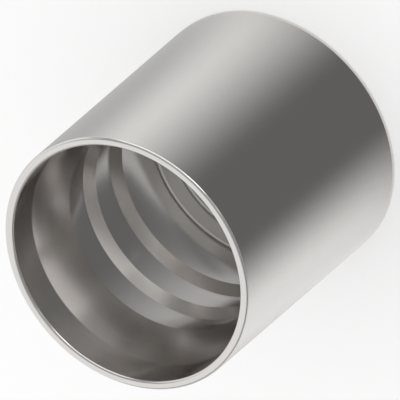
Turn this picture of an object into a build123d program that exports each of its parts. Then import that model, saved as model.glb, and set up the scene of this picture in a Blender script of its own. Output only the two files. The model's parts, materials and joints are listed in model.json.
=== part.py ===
from build123d import *
import os

# Crimp hose ferrule: a turned steel sleeve that slides over the end of a hydraulic hose and is pressed
# down on it. Millimetres. The ferrule stands on its collar end with the mouth up: Z = 0 is the flat end
# of the collar, and Z is the axis of the sleeve. Lengths below run along that axis, and heights, depths
# of steps and walls run outwards from it.

# Toothed bore, which grips the hose cover
tooth_tip_diameter = 38.8  # across the tips, which the hose is pushed through
tooth_height = 1.4  # groove floor to tip
tooth_pitch = 9.0
tooth_count = 3
flank_length = 2.0  # slope of a tooth on the side of the mouth, its other side is square

# Mouth and lead-in
lead_in_height = 3.0  # tip of the first tooth to the wall of the mouth
lead_in_length = 7.7
mouth_length = 6.5
mouth_wall = 1.6
mouth_edge_radius = 0.45

# Plain land behind the last tooth, where the hose end stops against the seat
land_length = 12.0
seat_width = 3.15
seat_corner = 0.6  # slope in the corner between the land and the seat

# Collar, which locks in the groove of the stem
collar_length = 6.4
recess_length = 0.75  # small step inside the seat
recess_width = 0.8
recess_corner = 0.5  # slope in the corner at the foot of that step
collar_chamfer = 0.4

# Radii, from the tips outwards and from the groove floor inwards
tip_radius = tooth_tip_diameter / 2
groove_radius = tip_radius + tooth_height
mouth_radius = tip_radius + lead_in_height
outer_radius = mouth_radius + mouth_wall
recess_radius = groove_radius - seat_width
collar_radius = recess_radius - recess_width

# Heights above the collar end
last_tip_height = collar_length + land_length
first_tip_height = last_tip_height + (tooth_count - 1) * tooth_pitch
mouth_floor_height = first_tip_height + lead_in_length
recess_height = collar_length - recess_length
overall_length = mouth_floor_height + mouth_length

match = 0.001  # two heights closer than this are the same


def rings(turned, height):
    """The round edges at this height, from the smallest to the largest."""
    level = turned.edges().filter_by(GeomType.CIRCLE)
    return level.filter_by_position(Axis.Z, height - match, height + match).sort_by(SortBy.RADIUS)


with BuildPart() as ferrule:
    with BuildSketch(Plane.XZ) as section:
        # Bar stock, bored through at the collar
        Rectangle(outer_radius, overall_length, align=Align.MIN)
        Rectangle(collar_radius, overall_length, align=Align.MIN, mode=Mode.SUBTRACT)

        # Step inside the seat
        with Locations((0, recess_height)):
            Rectangle(recess_radius, recess_length, align=Align.MIN, mode=Mode.SUBTRACT)

        # Plain land down to the seat
        with Locations((0, collar_length)):
            Rectangle(groove_radius, land_length, align=Align.MIN, mode=Mode.SUBTRACT)

        # Groove above each tooth but the first: square under the tooth over it, sloped down to its own tip
        for tooth in range(tooth_count - 1):
            tip_height = last_tip_height + tooth * tooth_pitch
            with BuildLine():
                Polyline(
                    (0, tip_height),
                    (tip_radius, tip_height),
                    (groove_radius, tip_height + flank_length),
                    (groove_radius, tip_height + tooth_pitch),
                    (0, tip_height + tooth_pitch),
                    close=True,
                )
            make_face(mode=Mode.SUBTRACT)

        # Mouth and the cone that leads the hose in to the first tooth
        with BuildLine():
            Polyline(
                (0, first_tip_height),
                (tip_radius, first_tip_height),
                (mouth_radius, mouth_floor_height),
                (mouth_radius, overall_length),
                (0, overall_length),
                close=True,
            )
        make_face(mode=Mode.SUBTRACT)
    revolve(axis=Axis.Z)

    # Sloped corners at the foot of the land and of the small step inside the seat
    chamfer(rings(ferrule, collar_length)[-1], min(seat_corner, 0.9 * seat_width))
    chamfer(rings(ferrule, recess_height)[-1], min(recess_corner, 0.9 * recess_length, 0.9 * recess_width))

    # Rounded edges at the mouth, sloped edges at the collar end
    fillet(rings(ferrule, overall_length), min(mouth_edge_radius, 0.45 * mouth_wall))
    chamfer(rings(ferrule, 0), collar_chamfer)

ferrule.part.label = "ferrule"

os.makedirs("parts", exist_ok=True)
export_step(ferrule.part, "parts/ferrule.step")
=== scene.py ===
"""Crimp hose ferrule: a bright turned steel sleeve with a toothed bore, stood on its collar end."""
import json
import math

import bmesh
import bpy
from bpy.props import FloatProperty, FloatVectorProperty, IntProperty, PointerProperty
from bpy.types import Operator, Panel, PropertyGroup
from mathutils import Euler, Matrix, Quaternion, Vector


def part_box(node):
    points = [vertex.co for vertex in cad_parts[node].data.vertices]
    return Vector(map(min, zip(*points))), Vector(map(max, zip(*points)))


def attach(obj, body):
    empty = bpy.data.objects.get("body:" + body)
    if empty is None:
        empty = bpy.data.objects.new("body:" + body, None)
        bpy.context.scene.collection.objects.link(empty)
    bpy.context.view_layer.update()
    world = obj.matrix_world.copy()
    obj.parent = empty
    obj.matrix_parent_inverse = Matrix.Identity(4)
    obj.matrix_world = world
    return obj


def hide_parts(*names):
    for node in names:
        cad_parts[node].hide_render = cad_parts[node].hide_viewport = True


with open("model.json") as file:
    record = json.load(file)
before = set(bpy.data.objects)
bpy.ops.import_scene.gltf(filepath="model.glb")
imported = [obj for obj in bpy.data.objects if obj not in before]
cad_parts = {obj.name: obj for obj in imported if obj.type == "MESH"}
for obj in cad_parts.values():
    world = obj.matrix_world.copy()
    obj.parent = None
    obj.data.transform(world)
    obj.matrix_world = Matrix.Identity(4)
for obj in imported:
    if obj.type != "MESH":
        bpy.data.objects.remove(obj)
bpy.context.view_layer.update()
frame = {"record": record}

bl_info = {
    "name": "Crimp Hose Ferrule",
    "version": (1, 0, 0),
    "blender": (4, 5, 0),
    "location": "3D View > Sidebar > Ferrule",
    "description": "Turned steel ferrule for a hydraulic hose, with its finish and its studio",
    "category": "Add Mesh",
}

NODE = "ferrule"
BODY = "root"
MM = 0.001
WHITE = (1, 1, 1, 1)
BLACK = (0, 0, 0, 1)

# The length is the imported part's own, and its round mounts give the outside and the two plain bores
LOWEST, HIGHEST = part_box(NODE)
RADII = {
    mount["name"]: mount["dims"]["r_mm"] * MM
    for mount in frame["record"]["mounts"]
    if "r_mm" in mount["dims"]
}


def length_property(name, description, default):
    """A length that the user can change, in metres."""
    return FloatProperty(
        name=name, description=description, default=default, min=0, precision=5, unit="LENGTH",
    )


class FerruleSizes(PropertyGroup):
    """Sizes of the turned sleeve."""

    outer_radius: length_property("Outer Radius", "Axis to the plain outside", RADII["crimp_surface"])
    overall_length: length_property("Overall Length", "Collar end to rim", HIGHEST.z - LOWEST.z)
    mouth_radius: length_property("Mouth Radius", "Axis to the bore behind the rim", RADII["hose_mouth"])
    collar_radius: length_property("Collar Radius", "Axis to the bore of the collar", RADII["stem_bore"])
    mouth_length: length_property("Mouth Length", "Rim to the start of the lead-in cone", 6.5 * MM)
    mouth_edge_radius: length_property("Mouth Edge Radius", "Rounding of the rim's two edges", 0.45 * MM)
    lead_in_length: length_property("Lead-in Length", "Cone between mouth and first tooth", 7.7 * MM)
    tip_radius: length_property("Tooth Tip Radius", "Axis to the tips of the teeth", 19.4 * MM)
    tooth_height: length_property("Tooth Height", "Groove floor to tooth tip", 1.4 * MM)
    tooth_pitch: length_property("Tooth Pitch", "Tip to tip along the axis", 9.0 * MM)
    flank_length: length_property("Flank Length", "Slope of a tooth on the side of the mouth", 2.0 * MM)
    land_length: length_property("Land Length", "Last tooth to the seat of the hose end", 12.0 * MM)
    seat_width: length_property("Seat Width", "Land to the edge of the collar", 3.15 * MM)
    seat_corner_radius: length_property("Seat Corner Radius", "Rounding between land and seat", 0.8 * MM)
    recess_length: length_property("Recess Length", "Depth of the small step inside the seat", 0.75 * MM)
    recess_corner_radius: length_property("Recess Corner Radius", "Rounding at that step's foot", 0.65 * MM)
    collar_chamfer: length_property("Collar Chamfer", "Slope on the collar end's two edges", 0.3 * MM)
    tooth_count: IntProperty(
        name="Teeth", description="Ridges that grip the hose", default=3, min=1, max=12,
    )
    around: IntProperty(
        name="Steps Around", description="Faces round the axis", default=384, min=32, max=768,
    )
    corner_steps: IntProperty(
        name="Corner Steps", description="Faces across a rounded edge", default=8, min=2, max=24,
    )


CHAMFER = 1  # One face across a break, which makes it a slope
SHARP = (0, 0)  # No break, and no face across it


def section_corners(sizes):
    """Corners of the wall's section in order, as (radius, height, run of the break, faces across it)."""
    top = sizes.overall_length
    mouth_floor = top - sizes.mouth_length
    first_tip = mouth_floor - sizes.lead_in_length
    last_tip = first_tip - (sizes.tooth_count - 1) * sizes.tooth_pitch
    seat = last_tip - sizes.land_length
    recess = seat - sizes.recess_length
    groove_radius = sizes.tip_radius + sizes.tooth_height
    recess_radius = groove_radius - sizes.seat_width
    steps = sizes.corner_steps

    # Outside, from the collar end up, and over the rim
    corners = [
        (sizes.collar_radius, 0, sizes.collar_chamfer, CHAMFER),
        (sizes.outer_radius, 0, sizes.collar_chamfer, CHAMFER),
        (sizes.outer_radius, top, sizes.mouth_edge_radius, steps),
        (sizes.mouth_radius, top, sizes.mouth_edge_radius, steps),
        (sizes.mouth_radius, mouth_floor, *SHARP),
    ]

    # Teeth down the bore, each square on the side of the collar
    tip = first_tip
    for tooth in range(sizes.tooth_count):
        corners += [(sizes.tip_radius, tip, *SHARP), (groove_radius, tip, *SHARP)]
        if tooth < sizes.tooth_count - 1:
            tip -= sizes.tooth_pitch
            corners.append((groove_radius, tip + sizes.flank_length, *SHARP))

    # Seat, and the small step inside it
    corners += [
        (groove_radius, seat, sizes.seat_corner_radius, steps),
        (recess_radius, seat, *SHARP),
        (recess_radius, recess, sizes.recess_corner_radius, steps),
        (sizes.collar_radius, recess, *SHARP),
    ]
    return corners


def spin_round(bm, steps):
    """Turns all that is drawn right round the axis, and gives its faces an order that each run repeats."""
    bmesh.ops.spin(
        bm, geom=bm.verts[:] + bm.edges[:], cent=(0, 0, 0), axis=(0, 0, 1), dvec=(0, 0, 0),
        angle=2 * math.pi, steps=steps, use_merge=True,
    )
    bm.verts.index_update()
    count = len(bm.verts)

    def place(face):
        ends = [point.index for point in face.verts]
        return min(ends) * count + max(ends)

    bm.faces.sort(key=place)


def turned_mesh(name, sizes):
    """The section with its edges broken, spun about the axis."""
    bm = bmesh.new()
    corners = section_corners(sizes)
    points = [bm.verts.new((radius, 0, height)) for radius, height, run, steps in corners]
    for start, end in zip(points, points[1:] + points[:1]):
        bm.edges.new((start, end))
    for point, (radius, height, run, steps) in zip(points, corners):
        if steps:
            bmesh.ops.bevel(
                bm, geom=[point], offset=run, offset_type="OFFSET", affect="VERTICES",
                segments=steps, profile=0.5, material=-1,
            )
    spin_round(bm, sizes.around)
    bmesh.ops.recalc_face_normals(bm, faces=bm.faces)
    for face in bm.faces:
        face.smooth = True
    crease_angle = math.radians(15)
    for line in bm.edges:
        line.smooth = line.calc_face_angle(0) < crease_angle
    mesh = bpy.data.meshes.new(name)
    bm.to_mesh(mesh)
    bm.free()
    return mesh


MARK_SPACING = 0.45 * MM
CLOUD_SIZE = 12 * MM  # Soft patches of a face that hands have touched
RADIUS_SHARE = 0.83  # How far a step outwards counts, against a step along the wall
BAND_SCALE = 0.13  # A band of duller marks holds about eight lines
ROUGHNESS_SPREAD = 0.04
COLOUR_SPREAD = 0.015


class FinishSettings(PropertyGroup):
    """Colour and marks of the turned steel."""

    steel_colour: FloatVectorProperty(
        name="Steel Colour", description="Colour that the bright steel reflects",
        default=(0.709, 0.69, 0.672), min=0, max=1, subtype="COLOR",
    )
    roughness: FloatProperty(
        name="Roughness", description="How much the turned face blurs what it reflects",
        default=0.17, min=0, max=1, subtype="FACTOR",
    )
    mark_spacing: length_property("Mark Spacing", "Distance between the tool's lines", MARK_SPACING)
    mark_height: length_property("Mark Height", "Depth of those lines", 0.0004 * MM)


def new_group(name, inputs, outputs):
    """A shader node group with these float or vector sockets, and its two end nodes."""
    group = bpy.data.node_groups.new(name, "ShaderNodeTree")
    for label, kind, default in inputs:
        socket = group.interface.new_socket(name=label, in_out="INPUT", socket_type=kind)
        if default is not None:
            socket.default_value = default
    for label, kind in outputs:
        group.interface.new_socket(name=label, in_out="OUTPUT", socket_type=kind)
    return group, group.nodes.new("NodeGroupInput"), group.nodes.new("NodeGroupOutput")


def math_node(tree, operation, *values):
    """A Math node fed with sockets or plain numbers, and its result."""
    node = tree.nodes.new("ShaderNodeMath")
    node.operation = operation
    for socket, value in zip(node.inputs, values):
        if isinstance(value, bpy.types.NodeSocket):
            tree.links.new(value, socket)
        else:
            socket.default_value = value
    return node.outputs["Value"]


def noise_node(tree, dimensions, scale, detail, **links):
    """A noise texture fed with a vector or a single running value, and its value."""
    node = tree.nodes.new("ShaderNodeTexNoise")
    node.noise_dimensions = dimensions
    node.inputs["Scale"].default_value = scale
    node.inputs["Detail"].default_value = detail
    for name, socket in links.items():
        tree.links.new(socket, node.inputs[name])
    return node.outputs["Fac"]


def ranged(tree, value, low, high):
    """A value between 0 and 1 brought between two others."""
    node = tree.nodes.new("ShaderNodeMapRange")
    tree.links.new(value, node.inputs["Value"])
    node.inputs["To Min"].default_value = low
    node.inputs["To Max"].default_value = high
    return node.outputs["Result"]


def turning_marks():
    """Fine rings that the cutting tool leaves, and the soft clouds of a handled bright face."""
    group, start, end = new_group(
        "turning_marks",
        (
            ("Vector", "NodeSocketVector", None),
            ("Spacing", "NodeSocketFloat", MARK_SPACING),
            ("Cloud Size", "NodeSocketFloat", CLOUD_SIZE),
        ),
        (("Rings", "NodeSocketFloat"), ("Bands", "NodeSocketFloat"), ("Clouds", "NodeSocketFloat")),
    )
    flat = group.nodes.new("ShaderNodeVectorMath")
    flat.operation = "MULTIPLY"
    flat.inputs[1].default_value = (1, 1, 0)
    group.links.new(start.outputs["Vector"], flat.inputs[0])
    radius = group.nodes.new("ShaderNodeVectorMath")
    radius.operation = "LENGTH"
    group.links.new(flat.outputs["Vector"], radius.inputs[0])
    split = group.nodes.new("ShaderNodeSeparateXYZ")
    group.links.new(start.outputs["Vector"], split.inputs["Vector"])

    # Runs along the wall and across the end faces alike
    travel = math_node(group, "MULTIPLY_ADD", radius.outputs["Value"], RADIUS_SHARE, split.outputs["Z"])
    lines = math_node(group, "DIVIDE", travel, start.outputs["Spacing"])
    rings = noise_node(group, "1D", scale=1, detail=2, W=lines)
    group.links.new(rings, end.inputs["Rings"])
    bands = noise_node(group, "1D", scale=BAND_SCALE, detail=1, W=lines)
    group.links.new(bands, end.inputs["Bands"])

    spread = group.nodes.new("ShaderNodeVectorMath")
    spread.operation = "DIVIDE"
    group.links.new(start.outputs["Vector"], spread.inputs[0])
    group.links.new(start.outputs["Cloud Size"], spread.inputs[1])
    clouds = noise_node(group, "3D", scale=1, detail=3, Vector=spread.outputs["Vector"])
    group.links.new(clouds, end.inputs["Clouds"])
    return group


def bright_turned_steel(finish):
    """Bright steel as it leaves the lathe."""
    material = bpy.data.materials.new("bright_turned_steel")
    material.use_nodes = True
    tree = material.node_tree
    shader = tree.nodes["Principled BSDF"]
    shader.inputs["Metallic"].default_value = 1
    place = tree.nodes.new("ShaderNodeTexCoord")
    marks = tree.nodes.new("ShaderNodeGroup")
    marks.node_tree = turning_marks()
    marks.inputs["Spacing"].default_value = finish.mark_spacing
    tree.links.new(place.outputs["Object"], marks.inputs["Vector"])

    # A touch duller in some rings and in the clouds
    both = math_node(tree, "ADD", marks.outputs["Bands"], marks.outputs["Clouds"])
    mean = math_node(tree, "MULTIPLY", both, 0.5)
    smoothest, dullest = finish.roughness - ROUGHNESS_SPREAD, finish.roughness + ROUGHNESS_SPREAD
    tree.links.new(ranged(tree, mean, smoothest, dullest), shader.inputs["Roughness"])

    # A touch darker between the clouds
    darker = [(1 - COLOUR_SPREAD) * part for part in finish.steel_colour]
    lighter = [min(1, (1 + COLOUR_SPREAD) * part) for part in finish.steel_colour]
    colour = tree.nodes.new("ShaderNodeMix")
    colour.data_type = "RGBA"
    colour.inputs["A"].default_value = (*darker, 1)
    colour.inputs["B"].default_value = (*lighter, 1)
    tree.links.new(marks.outputs["Clouds"], colour.inputs["Factor"])
    tree.links.new(colour.outputs["Result"], shader.inputs["Base Color"])

    bump = tree.nodes.new("ShaderNodeBump")
    bump.inputs["Distance"].default_value = finish.mark_height
    tree.links.new(marks.outputs["Rings"], bump.inputs["Height"])
    tree.links.new(bump.outputs["Normal"], shader.inputs["Normal"])
    return material


class FERRULE_OT_add_sleeve(Operator):
    """Add the turned sleeve and its steel"""

    bl_idname = "ferrule.add_sleeve"
    bl_label = "Sleeve"
    bl_options = {"REGISTER", "UNDO"}

    def execute(self, context):
        sizes = context.scene.ferrule_sizes
        sleeve = bpy.data.objects.new("turned_sleeve", turned_mesh("turned_sleeve", sizes))
        context.collection.objects.link(sleeve)
        level = sleeve.modifiers.new("even_shading", "WEIGHTED_NORMAL")
        level.keep_sharp = True
        level.weight = 100  # The most there is: wide faces stay level beside a rounded edge
        sleeve.data.materials.append(bright_turned_steel(context.scene.ferrule_finish))
        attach(sleeve, BODY)
        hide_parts(NODE)
        return {"FINISHED"}


class StudioSettings(PropertyGroup):
    """Camera and light of the picture."""

    camera_elevation: FloatProperty(
        name="Camera Elevation", description="Height of the camera above the floor",
        default=math.radians(48.65), subtype="ANGLE",
    )
    camera_roll: FloatProperty(
        name="Camera Roll", description="Turn of the camera about its own line of sight",
        default=math.radians(-130.83), subtype="ANGLE",
    )
    frame_width: length_property("Frame Width", "Width that the picture takes in", 68.5 * MM)
    camera_distance: length_property("Camera Distance", "Middle of the ferrule to the camera", 0.5)
    floor_width: length_property("Floor Width", "Side of the square floor", 3.0)
    floor_colour: FloatVectorProperty(
        name="Floor Colour", description="Colour of the floor",
        default=(0.62, 0.62, 0.62), min=0, max=1, subtype="COLOR",
    )
    floor_glow: FloatProperty(
        name="Floor Glow", description="Share of its white that no shadow takes",
        default=0.38, min=0, max=1,
    )
    reflections: IntProperty(
        name="Reflections", description="Times that light is followed from wall to wall in the bore",
        default=12, min=4, max=64,
    )


def studio_world():
    """White on all sides, for the camera, the steel and the soft light alike."""
    world = bpy.data.worlds.new("studio")
    world.use_nodes = True
    room = world.node_tree.nodes["Background"]
    room.inputs["Color"].default_value = WHITE
    room.inputs["Strength"].default_value = 1
    return world


def add_to_stage(context, name, bm, material):
    """Makes an object of a mesh and its material, and links it to the scene: a thing of the studio, which
    isn't part of the ferrule.
    """
    mesh = bpy.data.meshes.new(name)
    bm.to_mesh(mesh)
    bm.free()
    mesh.materials.append(material)
    thing = bpy.data.objects.new(name, mesh)
    context.collection.objects.link(thing)
    return thing


def seen_directly(tree):
    """1 for the camera, for a reflection and for a look through something clear, and 0 for soft light."""
    ray = tree.nodes.new("ShaderNodeLightPath")
    seen = math_node(tree, "MAXIMUM", ray.outputs["Is Camera Ray"], ray.outputs["Is Glossy Ray"])
    return math_node(tree, "MAXIMUM", seen, ray.outputs["Is Transmission Ray"])


def floor_paper(studio):
    """Pale floor that keeps the shadow of the sleeve, and looks the same in the steel as to the camera."""
    material = bpy.data.materials.new("floor_paper")
    material.use_nodes = True
    tree = material.node_tree
    shader = tree.nodes["Principled BSDF"]
    shader.inputs["Base Color"].default_value = (*studio.floor_colour, 1)
    shader.inputs["Roughness"].default_value = 1
    shader.inputs["Specular IOR Level"].default_value = 0
    shader.inputs["Emission Color"].default_value = WHITE
    glow = math_node(tree, "MULTIPLY", seen_directly(tree), studio.floor_glow)
    tree.links.new(glow, shader.inputs["Emission Strength"])
    return material


def add_floor(context, studio):
    """The plain pale floor that the collar end stands on."""
    bm = bmesh.new()
    bmesh.ops.create_grid(bm, x_segments=1, y_segments=1, size=studio.floor_width / 2)
    add_to_stage(context, "floor", bm, floor_paper(studio))


def card_tone(name, tone):
    """Even glow of a card, a softbox or a lamp, where 1 is white, which paints its tone into the reflections
    that see it.
    """
    material = bpy.data.materials.new(name)
    material.use_nodes = True
    shader = material.node_tree.nodes["Principled BSDF"]
    shader.inputs["Base Color"].default_value = BLACK
    shader.inputs["Specular IOR Level"].default_value = 0
    shader.inputs["Emission Color"].default_value = WHITE
    shader.inputs["Emission Strength"].default_value = tone
    return material


def faded(tree, angle, clear, full):
    """A soft edge: 0 up to the clear angle and 1 past the full one, whichever of them is larger."""
    node = tree.nodes.new("ShaderNodeMapRange")
    node.interpolation_type = "SMOOTHSTEP"
    tree.links.new(angle, node.inputs["Value"])
    node.inputs["From Min"].default_value = clear
    node.inputs["From Max"].default_value = full
    return node.outputs["Result"]


def graduated_tone(name, tone, focus, bearing, left, right):
    """A tone that fades out at both sides, by degrees from the bearing as they are seen from the focus."""
    material = card_tone(name, tone)
    tree = material.node_tree
    place = tree.nodes.new("ShaderNodeTexCoord")
    turn = tree.nodes.new("ShaderNodeMapping")
    turn.vector_type = "TEXTURE"
    turn.inputs["Location"].default_value = focus
    turn.inputs["Rotation"].default_value = (0, 0, math.radians(bearing))
    tree.links.new(place.outputs["Object"], turn.inputs["Vector"])
    split = tree.nodes.new("ShaderNodeSeparateXYZ")
    tree.links.new(turn.outputs["Vector"], split.inputs["Vector"])
    angle = math_node(tree, "DEGREES", math_node(tree, "ARCTAN2", split.outputs["Y"], split.outputs["X"]))
    amount = math_node(tree, "MULTIPLY", faded(tree, angle, *left), faded(tree, angle, *right))
    tree.links.new(amount, tree.nodes["Principled BSDF"].inputs["Alpha"])
    return material


def add_for_reflections(context, name, bm, material):
    """Adds a card to the stage, where only reflections see it."""
    card = add_to_stage(context, name, bm, material)
    card.visible_camera = card.visible_diffuse = card.visible_shadow = False


def add_card(context, name, tone, size, distance, bearing, level, upright=True):
    """A flat card, upright and facing the axis or else level, with its middle so far out and so high."""
    bm = bmesh.new()

    # One metre square, then brought to its size
    bmesh.ops.create_grid(bm, x_segments=1, y_segments=1, size=0.5)
    bmesh.ops.scale(bm, vec=(*size, 1), verts=bm.verts)
    if upright:
        bmesh.ops.rotate(bm, matrix=Matrix.Rotation(math.pi / 2, 3, "X"), verts=bm.verts)

    # It starts out on the -Y side, which has a bearing of -90
    bmesh.ops.translate(bm, vec=(0, -distance, level), verts=bm.verts)
    turn = math.radians(bearing + 90)
    bmesh.ops.rotate(bm, matrix=Matrix.Rotation(turn, 3, "Z"), verts=bm.verts)
    add_for_reflections(context, name, bm, card_tone(name, tone))


LYING_STEPS = 128  # Faces round a lying card


def add_lying_card(context, name, tone, ring, height, **fading):
    """A flat ring of graduated card round the axis, from one radius to another."""
    bm = bmesh.new()
    ends = [bm.verts.new((radius, 0, height)) for radius in ring]
    bm.edges.new(ends)
    spin_round(bm, LYING_STEPS)
    add_for_reflections(context, name, bm, graduated_tone(name, tone, **fading))


def add_cards(context):
    """Painted reflections: cards, softbox and lamp that only the steel reflects, in metres and in degrees
    from the X axis.
    """
    # Painted reflections: grey walls and a grey ceiling that glow at a set tone, which only the steel sees
    # and which shade nothing else
    add_card(context, "grey_wall", 0.45, size=(1.6, 1.0), distance=0.6, bearing=-49, level=0.5)
    add_card(context, "side_wall", 0.32, size=(1.4, 0.8), distance=0.6, bearing=-155, level=0.4)
    add_card(context, "far_wall", 0.48, size=(0.9, 0.6), distance=0.6, bearing=140, level=0.43)
    add_card(
        context, "grey_ceiling", 0.43, size=(1.4, 0.9), distance=0.15, bearing=-49, level=0.8,
        upright=False,
    )
    # Painted highlights: a glowing softbox and a small lamp that only the steel sees, and that light nothing
    # else
    add_card(context, "low_softbox", 1.3, size=(0.46, 0.42), distance=0.4, bearing=-46, level=0.21)
    add_card(context, "key_lamp", 3.5, size=(0.12, 0.12), distance=0.4, bearing=-80, level=0.12)

    # Round the foot: painted reflections, a dark card and a paler one that only the steel sees, which lay
    # darker bands along the outside wall. Edges that aim at the near side are straight bands in what the
    # wall reflects
    foot = (24.2 * MM, 250 * MM)
    near_side = (0, -13 * MM, 0)
    add_lying_card(
        context, "dark_painted_reflection", 0.155, ring=foot, height=0.6 * MM,
        focus=near_side, bearing=-105, left=(109, 21), right=(-91, -34),
    )
    add_lying_card(
        context, "pale_painted_reflection", 0.55, ring=foot, height=0.3 * MM,
        focus=near_side, bearing=60, left=(90, 40), right=(-76, -30),
    )

    # In the well of the collar: painted shade, a dark card that only the steel sees, which darkens the floor
    # inside the sleeve in what the teeth reflect. Its edges aim at the far side
    well = (0.5 * MM, 16.5 * MM)
    far_side = (0, 13 * MM, 0)
    add_lying_card(
        context, "well_painted_shade", 0.16, ring=well, height=0.6 * MM,
        focus=far_side, bearing=-125, left=(109, 21), right=(-91, -34),
    )


def add_camera(context, studio, middle):
    """A parallel view down at the mouth from one side, rolled so that the sleeve lies across the picture."""
    lens = bpy.data.cameras.new("camera")
    lens.type = "ORTHO"
    lens.ortho_scale = studio.frame_width
    camera = bpy.data.objects.new("camera", lens)
    context.collection.objects.link(camera)
    upright = Euler((math.pi / 2 - studio.camera_elevation, 0, 0)).to_quaternion()
    turn = upright @ Quaternion((0, 0, 1), studio.camera_roll)
    camera.rotation_mode = "QUATERNION"
    camera.rotation_quaternion = turn
    camera.location = Vector((0, 0, middle)) + turn @ Vector((0, 0, studio.camera_distance))
    context.scene.camera = camera


class FERRULE_OT_add_stage(Operator):
    """Add the floor, the light and the camera"""

    bl_idname = "ferrule.add_stage"
    bl_label = "Stage"
    bl_options = {"REGISTER", "UNDO"}

    def execute(self, context):
        scene = context.scene
        studio = scene.ferrule_studio
        scene.world = studio_world()
        add_floor(context, studio)
        add_cards(context)
        add_camera(context, studio, scene.ferrule_sizes.overall_length / 2)
        scene.cycles.glossy_bounces = scene.cycles.max_bounces = studio.reflections
        scene.view_settings.view_transform = "Standard"
        return {"FINISHED"}


class FERRULE_PT_tools(Panel):
    """Sizes, finish and studio of the ferrule"""

    bl_idname = "FERRULE_PT_tools"
    bl_label = "Crimp Hose Ferrule"
    bl_space_type = "VIEW_3D"
    bl_region_type = "UI"
    bl_category = "Ferrule"

    def draw(self, context):
        layout = self.layout
        for settings, operator in (
            (context.scene.ferrule_sizes, None),
            (context.scene.ferrule_finish, FERRULE_OT_add_sleeve),
            (context.scene.ferrule_studio, FERRULE_OT_add_stage),
        ):
            box = layout.box()
            for name in type(settings).__annotations__:
                box.prop(settings, name)
            if operator:
                box.operator(operator.bl_idname)


CLASSES = (
    FerruleSizes,
    FinishSettings,
    StudioSettings,
    FERRULE_OT_add_sleeve,
    FERRULE_OT_add_stage,
    FERRULE_PT_tools,
)


def register():
    for cls in CLASSES:
        bpy.utils.register_class(cls)
    bpy.types.Scene.ferrule_sizes = PointerProperty(type=FerruleSizes)
    bpy.types.Scene.ferrule_finish = PointerProperty(type=FinishSettings)
    bpy.types.Scene.ferrule_studio = PointerProperty(type=StudioSettings)


def unregister():
    del bpy.types.Scene.ferrule_studio
    del bpy.types.Scene.ferrule_finish
    del bpy.types.Scene.ferrule_sizes
    for cls in reversed(CLASSES):
        bpy.utils.unregister_class(cls)


def main():
    """Makes the sleeve and its stage."""
    register()
    bpy.ops.ferrule.add_sleeve()
    bpy.ops.ferrule.add_stage()


if __name__ == "__main__":
    main()
